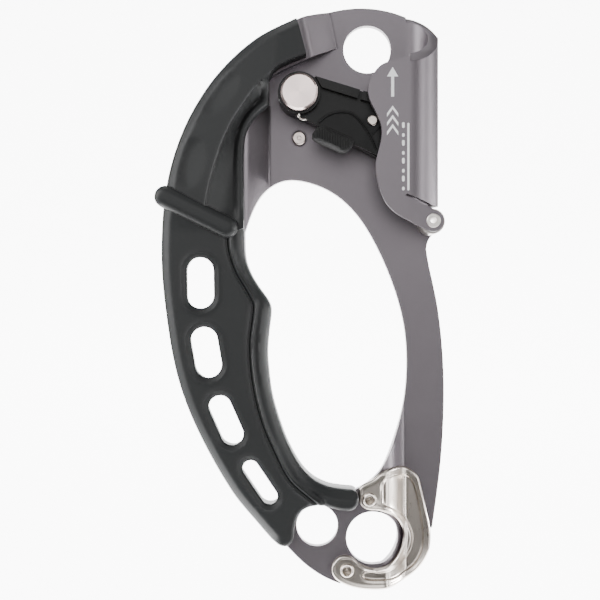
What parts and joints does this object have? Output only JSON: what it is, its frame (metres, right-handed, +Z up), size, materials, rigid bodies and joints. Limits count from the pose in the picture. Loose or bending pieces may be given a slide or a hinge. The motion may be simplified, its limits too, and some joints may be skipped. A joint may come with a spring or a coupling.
{
  "type": "handled rope ascender",
  "caption": "Left-hand handled rope ascender: bent aluminium frame with folded rope channel, toothed pivoting cam with thumb trigger, roller, moulded grip with slots and a steel wear plate.",
  "frame": {"origin": "centre of the lower attachment hole, in the middle plane of the handle's sheet, which is also the middle plane of the rope", "axes": "+Z up along the rope, +X from the grip towards the rope channel, +Y from the front of the ascender to its back, along the attachment holes and the cam's pivot"},
  "size_m": [0.1004, 0.0245, 0.2014],
  "materials": {
    "anodised_aluminium": "blasted and anodised grey",
    "stainless_steel": "satin",
    "turned_steel": "fine turned",
    "spring_steel": "drawn wire",
    "blackened_steel": "black satin",
    "bronze": "plain bearing",
    "grip_moulding": "satin moulded",
    "grip_rubber": "satin soft",
    "black_moulding": "satin"
  },
  "bodies": {
    "frame": {"frame_plate": "anodised_aluminium", "wear_plate": "stainless_steel", "wear_plate_rivets": "stainless_steel", "grip_front_shell": "grip_moulding", "grip_rear_shell": "grip_moulding", "grip_finger_strip": "grip_rubber", "grip_collar": "grip_rubber", "grip_screws": "stainless_steel", "cam_pivot_pin": "turned_steel", "cam_pivot_washers": "stainless_steel", "stop_pin": "turned_steel", "roller_axle": "turned_steel", "roller_washers": "stainless_steel"},
    "cam": {"cam": "blackened_steel", "cam_bush": "bronze", "cam_spring": "spring_steel", "trigger_pin": "turned_steel", "trigger_spring": "spring_steel"},
    "trigger": {"trigger_lever": "black_moulding", "trigger_pad": "black_moulding"},
    "roller": {"roller": "turned_steel", "roller_bush": "bronze"}
  },
  "joints": [
    {"name": "cam_pivot", "type": "hinge", "parent": "frame", "child": "cam", "pos_m": [-0.0252, 0, 0.1523], "axis": [0, 1, 0], "range_deg": [0, 50], "stiffness_Nm_per_rad": 0.05, "springref_deg": -34.38, "deforming": ["cam_spring"]},
    {"name": "trigger_pivot", "type": "hinge", "parent": "cam", "child": "trigger", "pos_m": [-0.0001, 0, 0.1429], "axis": [0, -1, 0], "range_deg": [0, 8], "stiffness_Nm_per_rad": 0.02, "springref_deg": -28.65, "deforming": ["trigger_spring"]},
    {"name": "roller_spin", "type": "hinge", "parent": "frame", "child": "roller", "pos_m": [0.0201, 0, 0.1085], "axis": [0, 1, 0], "continuous": true}
  ]
}
